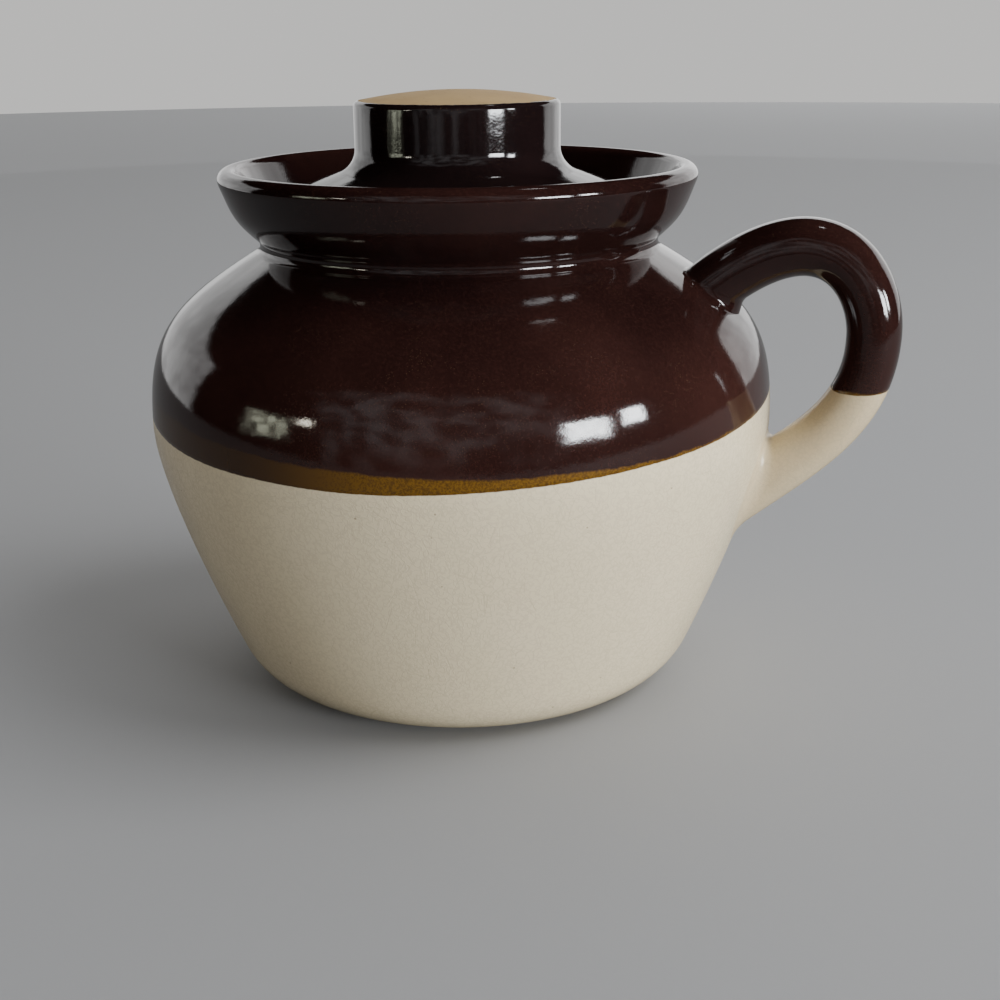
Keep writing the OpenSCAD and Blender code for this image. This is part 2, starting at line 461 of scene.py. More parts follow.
@dataclass(frozen=True)
class BrownGlaze:
    """The glossy plum-brown glaze, nearly black where it is thick and amber where it is thin."""

    deep: Colour = (0.0085, 0.0033, 0.0031)
    warm: Colour = (0.046, 0.0178, 0.0140)
    amber: Colour = (0.150, 0.073, 0.0065)
    # Dark amber of the grain, also used for painted shade on the left
    amber_grain_and_shade: Colour = (0.042, 0.0185, 0.0055)
    speck: Colour = (0.17, 0.10, 0.05)
    gloss: float = 0.055
    cloud_size: float = 48 * MM
    grain_size: float = 0.8 * MM
    speck_size: float = 0.7 * MM
    pimple: float = 0.55 * MM
    uneven: float = 0.22
    low_warmth: float = 0.27
    warm_below: Span = (124 * MM, 94 * MM)
    # Direction of the shaded left side, where the thin edge gets painted shade, and the span over which it
    # darkens
    painted_shade_side: Colour = (-0.866, -0.5, 0.0)
    painted_shade_from: Span = (30 * MM, 72 * MM)

    def colour(self, graph: Graph) -> NodeSocket:
        """Returns the colour of the thick glaze, with its slow changes of warmth and fine specks."""
        cloud = graph.step(graph.noise(self.cloud_size, 3.0, 0.55), 0.36, 0.66)
        grain = graph.step(graph.noise(self.grain_size, 3.0, 0.7), 0.42, 0.72)
        low = graph.step(graph.along(UP), *self.warm_below)
        warmth = graph.math("MULTIPLY_ADD", cloud, self.uneven, graph.times(grain, self.uneven))
        warmth = graph.math("MULTIPLY_ADD", low, self.low_warmth, warmth)
        thick = graph.mix(warmth, self.deep, self.warm)
        return graph.mix(graph.times(self.specks(graph), 0.3), thick, self.speck)

    def thin(self, graph: Graph) -> NodeSocket:
        """Returns the colour of the thin edge: mustard with dark grain, and darker brown towards the left
        as painted shade.
        """
        # Painted shade: the thin edge is painted darker towards the shaded left
        painted_shade_on_left = graph.step(graph.along(self.painted_shade_side), *self.painted_shade_from)
        grain = graph.step(graph.noise(0.6 * MM, 3.0, 0.75), 0.38, 0.62)
        shade = graph.math("MAXIMUM", painted_shade_on_left, graph.times(grain, 0.7))
        return graph.mix(shade, self.amber, self.amber_grain_and_shade)

    def specks(self, graph: Graph) -> NodeSocket:
        """Returns the mask of the fine crystals in the glaze."""
        dots = graph.step(graph.cells(self.speck_size, "F1"), 0.2, 0.08)
        patches = graph.step(graph.noise(17 * MM, 2.0), 0.42, 0.7)
        return graph.times(dots, patches)

    def roughness(self, graph: Graph) -> NodeSocket:
        """Returns the roughness, which is a little higher on the crystals."""
        film = graph.times(graph.noise(9 * MM, 3.0), 0.035)
        return graph.math("ADD", graph.math("MULTIPLY_ADD", self.specks(graph), 0.15, self.gloss), film)

    def height(self, graph: Graph) -> NodeSocket:
        """Returns the lie of the glaze's surface: slow swells, orange peel and fine pimples."""
        hollows = graph.times(graph.noise(8 * MM, 2.0), 0.22)
        swell = graph.math("MULTIPLY_ADD", graph.noise(34 * MM, 1.5), 0.8, hollows)
        peel = graph.times(graph.noise(2.6 * MM, 2.0), 0.07)
        pimples = graph.times(graph.noise(self.pimple, 2.0, 0.6), 0.045)
        return graph.math("ADD", swell, graph.math("ADD", peel, pimples))


DARK_BROWN = BrownGlaze(deep=(0.0058, 0.0034, 0.0036), warm=(0.020, 0.0092, 0.0085))


@dataclass(frozen=True)
class CreamGlaze:
    """The warm cream glaze, with fine wrinkles, faint crazing, pinholes, and a pink blush on the lower left
    that is partly painted shade.
    """

    body: Colour = (0.73, 0.635, 0.445)
    shade: Colour = (0.67, 0.575, 0.39)
    # Darker pink of the blush, which also serves as painted shade on the lower left
    blush_and_shade: Colour = (0.55, 0.40, 0.29)
    speck: Colour = (0.16, 0.11, 0.07)
    craze: Colour = (0.45, 0.37, 0.26)
    gloss: float = 0.16
    ground_size: float = 30 * MM
    craze_size: float = 5.5 * MM
    wrinkle: float = 1.5 * MM
    pit_size: float = 8.5 * MM
    # Lower left side, where the blush and painted shade darken the cream, and the span over which they rise
    blush_and_shade_side: Colour = (-1.0, -0.25, -0.35)
    blush_and_shade_from: Span = (30 * MM, 95 * MM)

    def lines(self, graph: Graph) -> NodeSocket:
        """Returns the mask of the crazing's hairlines."""
        wide = graph.step(graph.cells(self.craze_size, "DISTANCE_TO_EDGE"), 0.02, 0.004)
        fine = graph.step(graph.cells(self.craze_size / 2.1, "DISTANCE_TO_EDGE"), 0.028, 0.006)
        patches = graph.step(graph.noise(22 * MM, 2.0), 0.45, 0.62)
        return graph.math("MAXIMUM", wide, graph.times(fine, patches))

    def wrinkles(self, graph: Graph) -> NodeSocket:
        """Returns the fine curly ridges of the surface, from 0 between them to 1 on them."""
        offset = graph.math("ABSOLUTE", graph.math("SUBTRACT", graph.noise(self.wrinkle, 1.0), 0.5))
        return graph.step(offset, 0.11, 0.0)

    def colour(self, graph: Graph) -> NodeSocket:
        """Returns the colour."""
        ground = graph.mix(graph.noise(self.ground_size, 4.0), self.body, self.shade)
        # Pink blush and painted shade: the cream turns darker and pinker in patches towards the shaded
        # lower left
        side = graph.step(graph.along(self.blush_and_shade_side), *self.blush_and_shade_from)
        blush_and_shade_mask = graph.times(side, graph.step(graph.noise(24 * MM, 3.0), 0.35, 0.75))
        ground = graph.mix(graph.times(blush_and_shade_mask, 0.3), ground, self.blush_and_shade)
        ground = graph.mix(graph.times(self.wrinkles(graph), 0.24), ground, self.craze)
        ground = graph.mix(graph.times(self.lines(graph), 0.2), ground, self.craze)
        pits = graph.step(graph.cells(self.pit_size, "F1"), 0.045, 0.02)
        return graph.mix(graph.times(pits, 0.6), ground, self.speck)

    def roughness(self, graph: Graph) -> NodeSocket:
        """Returns the roughness."""
        return graph.math("MULTIPLY_ADD", graph.noise(8 * MM, 3.0), 0.1, self.gloss)

    def height(self, graph: Graph) -> NodeSocket:
        """Returns the lie of the glaze's surface, with the crazing cut in."""
        peel = graph.math("MULTIPLY_ADD", graph.noise(4.5 * MM, 3.0), 0.16, graph.noise(28 * MM, 2.0))
        ridged = graph.math("MULTIPLY_ADD", self.wrinkles(graph), 0.09, peel)
        return graph.math("MULTIPLY_ADD", self.lines(graph), -0.07, ridged)


@dataclass(frozen=True)
class BareClay:
    """The fired clay that no glaze covers."""

    light: Colour = (0.39, 0.27, 0.12)
    dark: Colour = (0.265, 0.17, 0.072)
    speck: Colour = (0.11, 0.065, 0.04)
    grog_size: float = 2.6 * MM
    grain_size: float = 0.9 * MM
    dullness: float = 0.82
    depth: float = 0.12 * MM

    def colour(self, graph: Graph) -> NodeSocket:
        """Returns the colour."""
        ground = graph.mix(graph.noise(9 * MM, 6.0, 0.65), self.light, self.dark)
        grog = graph.step(graph.cells(self.grog_size, "F1"), 0.16, 0.08)
        return graph.mix(graph.times(grog, 0.6), ground, self.speck)

    def height(self, graph: Graph) -> NodeSocket:
        """Returns the grain of the clay."""
        return graph.noise(self.grain_size, 4.0, 0.7)

    def material(self) -> Material:
        """Returns the material of a bare face."""
        graph = Graph.new("bare_clay")
        return graph.finish(self.colour(graph), self.dullness, self.height(graph), self.depth)


@dataclass(frozen=True)
class DippedGlaze:
    """Brown glaze over cream, with the amber edge between them."""

    line: DipLine = DipLine()
    brown: BrownGlaze = BrownGlaze()
    cream: CreamGlaze = CreamGlaze()
    band: float = 7.2 * MM
    band_end: float = 0.3 * MM
    band_fades: Span = (-72 * MM, 60 * MM)
    band_side: Colour = (0.956, 0.292, 0.0)
    ripple: float = 2.2 * MM
    ripple_size: float = 13 * MM
    fray: float = 0.9 * MM
    fray_size: float = 0.9 * MM
    step_up: float = 0.9

    def material(self, name: str) -> Material:
        """Returns the material of a dipped piece."""
        graph = Graph.new(name)
        above = self.line.above(graph)
        covered = graph.step(above, -0.12 * MM, 0.14 * MM)
        ripple = graph.wobble(self.ripple, self.ripple_size, 2.0)
        fray = graph.wobble(self.fray, self.fray_size, 3.0, 0.7)
        share = graph.ramp(graph.along(self.band_side), *self.band_fades)
        top = graph.math("MULTIPLY_ADD", share, self.band_end - self.band, self.band)
        rise = graph.math("SUBTRACT", graph.math("ADD", above, graph.math("ADD", ripple, fray)), top)
        thickness = graph.step(rise, -0.3 * MM, 0.5 * MM)
        brown = graph.mix(thickness, self.brown.thin(graph), self.brown.colour(graph))
        colour = graph.mix(covered, self.cream.colour(graph), brown)
        roughness = graph.blend(covered, self.cream.roughness(graph), self.brown.roughness(graph))
        height = graph.blend(covered, self.cream.height(graph), self.brown.height(graph))
        edge = graph.step(above, -0.2 * MM, 0.9 * MM)
        height = graph.math("MULTIPLY_ADD", edge, self.step_up, height)
        return graph.finish(colour, roughness, height, GLAZE_DEPTH)


@dataclass(frozen=True)
class PouredGlaze:
    """Brown glaze all over, as inside the pot and on the lid."""

    brown: BrownGlaze = BrownGlaze()

    def material(self, name: str) -> Material:
        """Returns the material."""
        graph = Graph.new(name)
        roughness, height = self.brown.roughness(graph), self.brown.height(graph)
        return graph.finish(self.brown.colour(graph), roughness, height, GLAZE_DEPTH)


@dataclass(frozen=True)
class WipedGlaze:
    """Brown glaze that is wiped off the top of the knob, down to the clay."""

    wiped_r: float = 27.3 * MM
    above: float = 160 * MM
    soft: float = 0.12 * MM
    fray: float = 1.6 * MM
    fray_size: float = 2.4 * MM
    dullness: float = 0.8
    sunk: float = 0.8
    brown: BrownGlaze = DARK_BROWN
    clay: BareClay = BareClay()

    def material(self, name: str) -> Material:
        """Returns the material."""
        graph = Graph.new(name)
        across = {0: graph.place(), 1: (1.0, 1.0, 0.0)}
        flat = graph.node("ShaderNodeVectorMath", across, operation="MULTIPLY").outputs[0]
        radius = graph.node("ShaderNodeVectorMath", {0: flat}, operation="LENGTH").outputs["Value"]
        frayed = graph.math("ADD", radius, graph.wobble(self.fray, self.fray_size, 5.0, 0.65))
        edge = graph.step(frayed, self.wiped_r + self.soft, self.wiped_r - self.soft)
        bare = graph.times(edge, graph.step(graph.along(UP), self.above, self.above + MM))
        colour = graph.mix(bare, self.brown.colour(graph), self.clay.colour(graph))
        roughness = graph.blend(bare, self.brown.roughness(graph), self.dullness)
        height = graph.blend(bare, self.brown.height(graph), graph.times(self.clay.height(graph), 0.5))
        height = graph.math("SUBTRACT", height, graph.times(bare, self.sunk))
        return graph.finish(colour, roughness, height, GLAZE_DEPTH)


# ---- sub-assemblies


@dataclass
class Pot:
    """The turned pot, from its flat foot to its flared collar."""

    belly_r: float = 89 * MM
    belly_h: float = 78 * MM
    foot_r: float = 49.5 * MM
    foot_round: float = 20 * MM
    wall_flare: float = 24.0
    low_ease: float = 19 * MM
    belly_ease: float = 14 * MM
    upper_ease: float = 25.5 * MM
    shoulder_ease: float = 28.5 * MM
    shoulder_slope: float = 31.0
    wall: float = 6 * MM
    floor_t: float = 7 * MM
    neck_r: float = 56.2 * MM
    neck_h: float = 126.4 * MM
    groove_round: float = 2.6 * MM
    groove_slope: float = 42.0
    rim_r: float = 66.8 * MM
    collar_h: float = 21 * MM
    lip_round: float = 3 * MM
    collar_flare: float = 21.0
    collar_face: float = 4.5 * MM
    collar_bend: float = 0.42
    seat_flare: float = 22.0
    ledge_rise: float = 6.4 * MM
    mouth_r: float = 50.5 * MM
    mouth_round: float = 1.2 * MM
    seat_fillet: float = 0.8 * MM
    inset: float = 0.2 * MM
    sag: float = 0.22 * MM
    glaze: DippedGlaze = DippedGlaze()
    inner_glaze: PouredGlaze = PouredGlaze()
    clay: BareClay = BareClay()

    @property
    def rim_h(self) -> float:
        """Height of the rim."""
        return self.neck_h + self.collar_h

    @property
    def ledge_h(self) -> float:
        """Height of the lid's ledge."""
        return self.neck_h + self.ledge_rise

    def heel(self, round_r: float, rise: float) -> list[Point]:
        """Returns the rounding at the foot, with its radius and the height of its flat."""
        return arc((self.foot_r, rise + round_r), round_r, -90, -self.wall_flare, 20)

    def groove(self) -> list[Point]:
        """Returns the groove under the collar."""
        centre = (self.neck_r + self.groove_round, self.neck_h)
        return arc(centre, self.groove_round, 270 - self.shoulder_slope, 90 + self.groove_slope, 12)

    def lip(self) -> list[Point]:
        """Returns the lip, from the outside to the inside."""
        centre = (self.rim_r - self.lip_round, self.rim_h - self.lip_round)
        return arc(centre, self.lip_round, -self.collar_flare, 180 - self.seat_flare, 20)

    def seat_r(self) -> float:
        """Returns the radius of the ledge, where the collar's inside meets it."""
        top = self.lip()[-1]
        return top[0] - (top[1] - self.ledge_h) * math.tan(math.radians(self.seat_flare))

    def outside(self) -> list[Point]:
        """Returns the outline from the edge of the foot up to the lip."""
        heel = self.heel(self.foot_round, 0.0)
        belly = (self.belly_r, self.belly_h)
        groove = self.groove()
        low = curve(heel[-1], 90 - self.wall_flare, self.low_ease, belly, 90, self.belly_ease, 44)
        slope = 180 - self.shoulder_slope
        high = curve(belly, 90, self.upper_ease, groove[0], slope, self.shoulder_ease, 52)
        lean = 90 - self.collar_flare
        bend_end = polar(self.lip()[0], -self.collar_face, lean)
        ease = math.dist(bend_end, groove[-1]) * self.collar_bend
        bend = curve(groove[-1], self.groove_slope, ease, bend_end, lean, ease, 20)
        return heel + low[1:] + high[1:] + groove[1:] + bend[1:]

    def inner_ease(self, ease: float, turn: float) -> float:
        """Returns the ease of the same curve on the inside of the wall."""
        return ease - 4 / 3 * math.tan(math.radians(turn / 4)) * self.wall

    def inside(self) -> list[Point]:
        """Returns the outline from the ledge down to the floor."""
        neck = polar(self.groove()[0], -self.wall, 90 - self.shoulder_slope)
        heel = self.heel(self.foot_round - self.wall, self.floor_t)
        belly = (self.belly_r - self.wall, self.belly_h)
        eases = [self.inner_ease(ease, self.wall_flare) for ease in (self.low_ease, self.belly_ease)]
        low = curve(heel[-1], 90 - self.wall_flare, eases[0], belly, 90, eases[1], 30)
        turn = 90 - self.shoulder_slope
        eases = [self.inner_ease(ease, turn) for ease in (self.upper_ease, self.shoulder_ease)]
        high = curve(belly, 90, eases[0], neck, 90 + turn, eases[1], 30)
        drop = (neck[0] - self.mouth_r) * math.tan(math.radians(self.shoulder_slope))
        throat_centre = (self.mouth_r + self.mouth_round, neck[1] + drop + self.inset)
        throat = arc(throat_centre, self.mouth_round, 180, 270 - self.shoulder_slope, 6)
        corner = (self.mouth_r + self.mouth_round, self.ledge_h - self.mouth_round)
        mouth = arc(corner, self.mouth_round, 90, 180, 8)
        seat = (self.seat_r() - self.seat_fillet, self.ledge_h + self.seat_fillet)
        fillet = arc((seat[0] - self.inset, seat[1]), self.seat_fillet, -self.seat_flare, -90, 6)
        rising = heel + low[1:] + high[1:]
        return fillet + mouth + throat + rising[::-1]

    def settle(self, skin: BMesh) -> None:
        """Lets the fired wall sag inwards a little, unevenly, as a real one does."""
        crest = 1.6
        for corner in skin.verts:
            bearing = math.atan2(corner.co.y, corner.co.x)
            lift = max(0.0, min(1.0, corner.co.z / self.belly_h))
            waves = math.sin(2 * bearing + 0.6) + 0.6 * math.sin(3 * bearing + 2.1 + 14 * corner.co.z)
            radius = math.hypot(corner.co.x, corner.co.y)
            if radius > self.mouth_r:
                factor = 1 - self.sag * lift * (crest + waves) / (2 * crest) / radius
                corner.co.x *= factor
                corner.co.y *= factor

    def build(self) -> BMesh:
        """Returns the mesh of the pot."""
        outline = [(0.0, 0.0)] + self.outside() + self.lip() + self.inside() + [(0.0, self.floor_t)]
        skin = turned(outline, Turn.WIDE.value)
        outside = self.outside()
        foot_top, floor_low = 0.25 * MM, self.floor_t - 0.1 * MM
        for face in skin.faces:
            centre = face.calc_center_median()
            radius = math.hypot(centre.x, centre.y)
            if centre.z < foot_top:
                face.material_index = Coat.FOOT.value
            elif floor_low < centre.z < self.ledge_h:
                within = radius < radius_at(outside, centre.z) - self.wall / 2
                face.material_index = (Coat.INSIDE if within else Coat.OUTSIDE).value
        self.settle(skin)
        return skin

    def dress(self) -> Object:
        """Returns the finished pot."""
        materials = (
            self.glaze.material("dipped_glaze"),
            self.inner_glaze.material("inner_glaze"),
            self.clay.material(),
        )
        piece = finished(self.build(), "pot", materials)
        fitted(piece, Body.POT, "pot_body")
        return piece


@dataclass
class Handle:
    """The ear-shaped handle, pressed on to the shoulder and the wall."""

    pot: Pot
    root_h: float = 115 * MM
    root_rise: float = 40.0
    root_ease: float = 40 * MM
    reach: float = 27.1 * MM
    reach_h: float = 104 * MM
    reach_up: float = 15 * MM
    reach_down: float = 21.5 * MM
    tail_h: float = 58.4 * MM
    tail_fall: float = 39.0
    tail_ease: float = 21 * MM
    grip_t: float = 16 * MM
    grip_w: float = 19 * MM
    tail_t: float = 13.4 * MM
    tail_w: float = 17 * MM
    tail_swell: float = 4 * MM
    swell_from: float = 0.55
    swell_to: float = 0.95
    root_joint: Joint = Joint(side=1.5 * MM, up=0.8 * MM, down=5 * MM, edge=1.1 * MM)
    tail_joint: Joint = Joint(side=4.5 * MM, up=3 * MM, down=3.5 * MM, edge=0.0)
    sunk: float = 11 * MM
    buried: float = 1.5 * MM
    squareness: float = 2.25
    rings: int = 220
    sides: int = 72
    crowding: float = 0.8
    # The handle's cream is tanner and darker than the pot's: partly a tan tint, partly painted shade of the
    # handle's shaded underside
    glaze: DippedGlaze = DippedGlaze(
        line=DipLine(height=88.6 * MM), cream=CreamGlaze(body=(0.68, 0.575, 0.38), shade=(0.55, 0.43, 0.26))
    )

    def path(self) -> list[Vector]:
        """Returns the centre line in the XZ plane, from inside the shoulder to inside the wall."""
        outside = self.pot.outside()
        root = (radius_at(outside, self.root_h), self.root_h)
        tail = (radius_at(outside, self.tail_h), self.tail_h)
        far = (self.pot.belly_r + self.reach, self.reach_h)
        rising = curve(root, self.root_rise, self.root_ease, far, -90, self.reach_up, 60)
        falling = curve(far, -90, self.reach_down, tail, self.tail_fall + 180, self.tail_ease, 60)
        points = [polar(root, -self.sunk, self.root_rise)] + rising + falling[1:]
        points.append(polar(tail, self.sunk, self.tail_fall + 180))
        return [Vector((x, 0.0, z)) for x, z in points]

    def spine(self) -> Callable[[float], tuple[Vector, Vector]]:
        """Returns a function that gives the place and heading at a share of the centre line."""
        points = self.path()
        runs = [0.0]
        for before, after in zip(points, points[1:]):
            runs.append(runs[-1] + (after - before).length)

        def at(share: float) -> Vector:
            distance = share * runs[-1]
            i = min(max(bisect_left(runs, distance), 1), len(points) - 1)
            part = (distance - runs[i - 1]) / (runs[i] - runs[i - 1])
            return points[i - 1].lerp(points[i], part)

        def place(share: float) -> tuple[Vector, Vector]:
            step = 0.004
            course = at(min(1.0, share + step)) - at(max(0.0, share - step))
            return at(share), course.normalized()

        return place

    def tube(self) -> BMesh:
        """Returns an upright tube of unit size, with its rings closer together near its ends."""
        skin = bmesh.new()
        bmesh.ops.create_cone(skin, cap_ends=True, segments=self.sides, radius1=1.0, radius2=1.0, depth=1.0)
        risers = [edge for edge in skin.edges if abs(edge.verts[0].co.z - edge.verts[1].co.z) > 0.5]
        bmesh.ops.subdivide_edges(skin, edges=risers, cuts=self.rings, use_grid_fill=True)
        for corner in skin.verts:
            share = min(1.0, max(0.0, corner.co.z + 0.5))
            corner.co.z = share - self.crowding * math.sin(math.tau * share) / math.tau
        return skin

    def section(self, across: float, over: float) -> Point:
        """Returns the place on the slightly squared oval for a place on the unit circle."""
        size = (abs(across) ** self.squareness + abs(over) ** self.squareness) ** (1 / self.squareness)
        return (across / size, over / size)

    def build(self) -> BMesh:
        """Returns the mesh of the handle."""
        skin = self.tube()
        wall = Wall(self.pot.outside())
        place = self.spine()
        across = Vector((0.0, 1.0, 0.0))
        for corner in skin.verts:
            share = corner.co.z
            centre, course = place(share)
            taper = share * share * (3 - 2 * share)
            half_t = (self.grip_t + (self.tail_t - self.grip_t) * taper) / 2
            half_w = (self.grip_w + (self.tail_w - self.grip_w) * taper) / 2
            over, side = self.section(corner.co.x, corner.co.y)
            rise = min(1.0, max(0.0, share - self.swell_from) / (self.swell_to - self.swell_from))
            swell = self.tail_swell * rise**2 * max(0.0, over)
            offset = across.cross(course) * (half_t * over + swell) + across * (half_w * side)
            joint, away = (self.root_joint, course) if share < 0.5 else (self.tail_joint, -course)
            spot = joint.pressed(centre + offset, offset.normalized(), away, wall)
            contact = wall.contact(spot)
            corner.co = spot + contact.normal * max(0.0, -self.buried - contact.gap)
        self.pot.settle(skin)
        bmesh.ops.recalc_face_normals(skin, faces=skin.faces)
        return skin

    def dress(self) -> Object:
        """Returns the finished handle."""
        piece = finished(self.build(), "ear_handle", [self.glaze.material("dipped_handle_glaze")])
        fitted(piece, Body.POT, "handle")
        return piece


@dataclass
class Lid:
    """The loose lid and the knob on it."""

    pot: Pot
    gap: float = 1.3 * MM
    edge: float = 5 * MM
    edge_round: float = 2 * MM
    edge_foot: float = 0.5 * MM
    slope: float = 19.4
    wall: float = 5.5 * MM
    ring_gap: float = 1.2 * MM
    ring_wall: float = 4.6 * MM
    ring_h: float = 7.5 * MM
    knob_r: float = 28.6 * MM
    knob_h: float = 12.5 * MM
    knob_dome: float = 2.6 * MM
    knob_round: float = 1.5 * MM
    knob_sunk: float = 1 * MM
    cove_r: float = 7.3 * MM
    glaze: PouredGlaze = PouredGlaze(DARK_BROWN)
    knob_glaze: WipedGlaze = WipedGlaze()

    @property
    def radius(self) -> float:
        """Radius of the lid's edge."""
        return self.pot.seat_r() - self.gap

    def top_at(self, radius: float) -> float:
        """Returns the height of the lid's sloping top at a radius."""
        return self.pot.ledge_h + self.edge + (self.radius - radius) * math.tan(math.radians(self.slope))

    def under_at(self, radius: float) -> float:
        """Returns the height of the lid's underside at a radius."""
        return self.top_at(radius) - self.wall / math.cos(math.radians(self.slope))

    def cove(self) -> list[Point]:
        """Returns the hollow curve between the lid's top and the knob."""
        radius = self.knob_r + self.cove_r
        centre = (radius, self.top_at(radius) + self.cove_r / math.cos(math.radians(self.slope)))
        return arc(centre, self.cove_r, 270 - self.slope, 180, 16)

    def build_lid(self) -> BMesh:
        """Returns the mesh of the lid."""
        setback = self.edge_round * math.tan(math.radians((90 - self.slope) / 2))
        centre = (self.radius - self.edge_round, self.pot.ledge_h + self.edge - setback)
        shoulder = arc(centre, self.edge_round, 0, 90 - self.slope, 12)
        ring_r = self.pot.mouth_r - self.ring_gap
        ring_round = self.ring_wall / 2
        low = self.pot.ledge_h
        foot = arc((ring_r - ring_round, low - self.ring_h + ring_round), ring_round, -180, 0, 24)
        cove = self.cove()
        under = [(0.0, self.under_at(self.knob_r)), (self.knob_r, self.under_at(self.knob_r))]
        inner_r = ring_r - self.ring_wall
        corner_r = self.radius - self.edge_foot
        seat = [(ring_r, low), (corner_r, low)]
        corner = arc((corner_r, low + self.edge_foot), self.edge_foot, -90, 0, 6)
        slope = between(shoulder[-1], cove[0], 12)
        outline = under + [(inner_r, self.under_at(inner_r))] + foot + seat + corner[1:]
        outline += shoulder + slope + cove + [(0.0, cove[-1][1])]
        return turned(outline, Turn.WIDE.value)

    def build_knob(self) -> BMesh:
        """Returns the mesh of the knob."""
        base = self.cove()[-1][1]
        top = base + self.knob_h
        edge_r = self.knob_r - self.knob_round
        dome_r = (edge_r**2 + self.knob_dome**2) / (2 * self.knob_dome)
        half = math.degrees(math.asin(edge_r / dome_r))
        base -= self.knob_sunk
        side = [(self.knob_r, base + (top - self.knob_round - base) * i / 6) for i in range(7)]
        rounding = arc((edge_r, top - self.knob_round), self.knob_round, 0, 90 - half, 10)
        dome = arc((0.0, top + self.knob_dome - dome_r), dome_r, 90 - half, 90, 24)
        return turned([(0.0, base)] + side + rounding[1:] + dome[1:], Turn.SMALL.value)

    def dress(self) -> list[Object]:
        """Returns the finished lid and knob."""
        lid = finished(self.build_lid(), "cover_disc", [self.glaze.material("lid_glaze")])
        fitted(lid, Body.COVER, "lid")
        knob = finished(self.build_knob(), "knob", [self.knob_glaze.material("knob_glaze")])
        fitted(knob, Body.COVER, "lid_knob")
        return [lid, knob]


# ---- studio


def heading(bearing: float, elevation: float) -> Vector:
    """Returns the direction of a bearing and an elevation in degrees."""
    turn, rise = math.radians(bearing), math.radians(elevation)
    return Vector((math.cos(turn) * math.cos(rise), math.sin(turn) * math.cos(rise), math.sin(rise)))


def only_reflected(thing: Object) -> None:
    """Hides a thing from everything but reflections."""
    thing.visible_camera = thing.visible_diffuse = thing.visible_shadow = False


@dataclass(frozen=True)
class Softbox:
    """A soft light that is aimed at the pot."""

    name: str
    bearing: float
    elevation: float
    distance: float
    width: float
    height: float
    brightness: float
    colour: Colour = (1.0, 1.0, 1.0)

    def build(self, aim: Vector) -> None:
        """Hangs the light at its bearing and elevation from the aim."""
        away = heading(self.bearing, self.elevation)
        data = bpy.data.lights.new(self.name, "AREA")
        data.shape = "RECTANGLE"
        data.size = self.width
        data.size_y = self.height
        data.energy = self.brightness * math.pi * self.width * self.height
        data.color = self.colour
        light = placed(self.name, data)
        light.location = aim + away * self.distance
        light.rotation_euler = away.to_track_quat("Z", "Y").to_euler()
        light.visible_glossy = light.visible_camera = False


@dataclass(frozen=True)
class Reflection:
    """A bright part of the room, which shows only as a reflection in the glaze."""

    name: str
    bearing: float
    elevation: float
    distance: float
    width: float
    height: float
    brightness: float
    soft: float = 0.25
    patch: float = 0.3
    patchy: float = 0.3
    colour: Colour = (1.0, 1.0, 1.0)

    def glow(self, centre: Vector, across: Vector, up: Vector) -> Material:
        """Makes its material, uneven and with soft edges.

        Args:
            centre: Its middle.
            across: Its horizontal direction.
            up: Its upward direction.

        Returns:
            The material.
        """
        graph = Graph.new(self.name)
        shares = []
        for way, size in ((across, self.width), (up, self.height)):
            offset = graph.math("SUBTRACT", graph.along(tuple(way)), centre.dot(way))
            shares.append(graph.times(graph.math("ABSOLUTE", offset), 2 / size))
        inward = graph.math("SUBTRACT", 1.0, graph.math("MAXIMUM", *shares))
        cloud = graph.math("SUBTRACT", graph.noise(self.patch, 3.0, 0.6), 0.5)
        edge = graph.step(graph.math("MULTIPLY_ADD", cloud, self.patchy, inward), 0.0, self.soft)
        light = graph.math("MULTIPLY_ADD", graph.step(cloud, -0.12, 0.12), self.patchy, 1 - self.patchy)
        strength = graph.times(graph.times(edge, light), self.brightness)
        emission = graph.node("ShaderNodeEmission", {"Color": self.colour, "Strength": strength})
        graph.node("ShaderNodeOutputMaterial", {"Surface": emission.outputs["Emission"]})
        return graph.owner

    def build(self, aim: Vector) -> None:
        """Hangs the panel at its bearing and elevation from the aim."""
        away = heading(self.bearing, self.elevation)
        across = Vector(UP).cross(away).normalized()
        up = away.cross(across)
        centre = aim + away * self.distance
        spread = Matrix((across * self.width, up * self.height, away)).transposed().to_4x4()
        skin = bmesh.new()
        bmesh.ops.create_grid(skin, x_segments=1, y_segments=1, size=0.5)
        bmesh.ops.transform(skin, verts=skin.verts, matrix=Matrix.Translation(centre) @ spread)
        panel = finished(skin, self.name, [self.glow(centre, across, up)])
        only_reflected(panel)


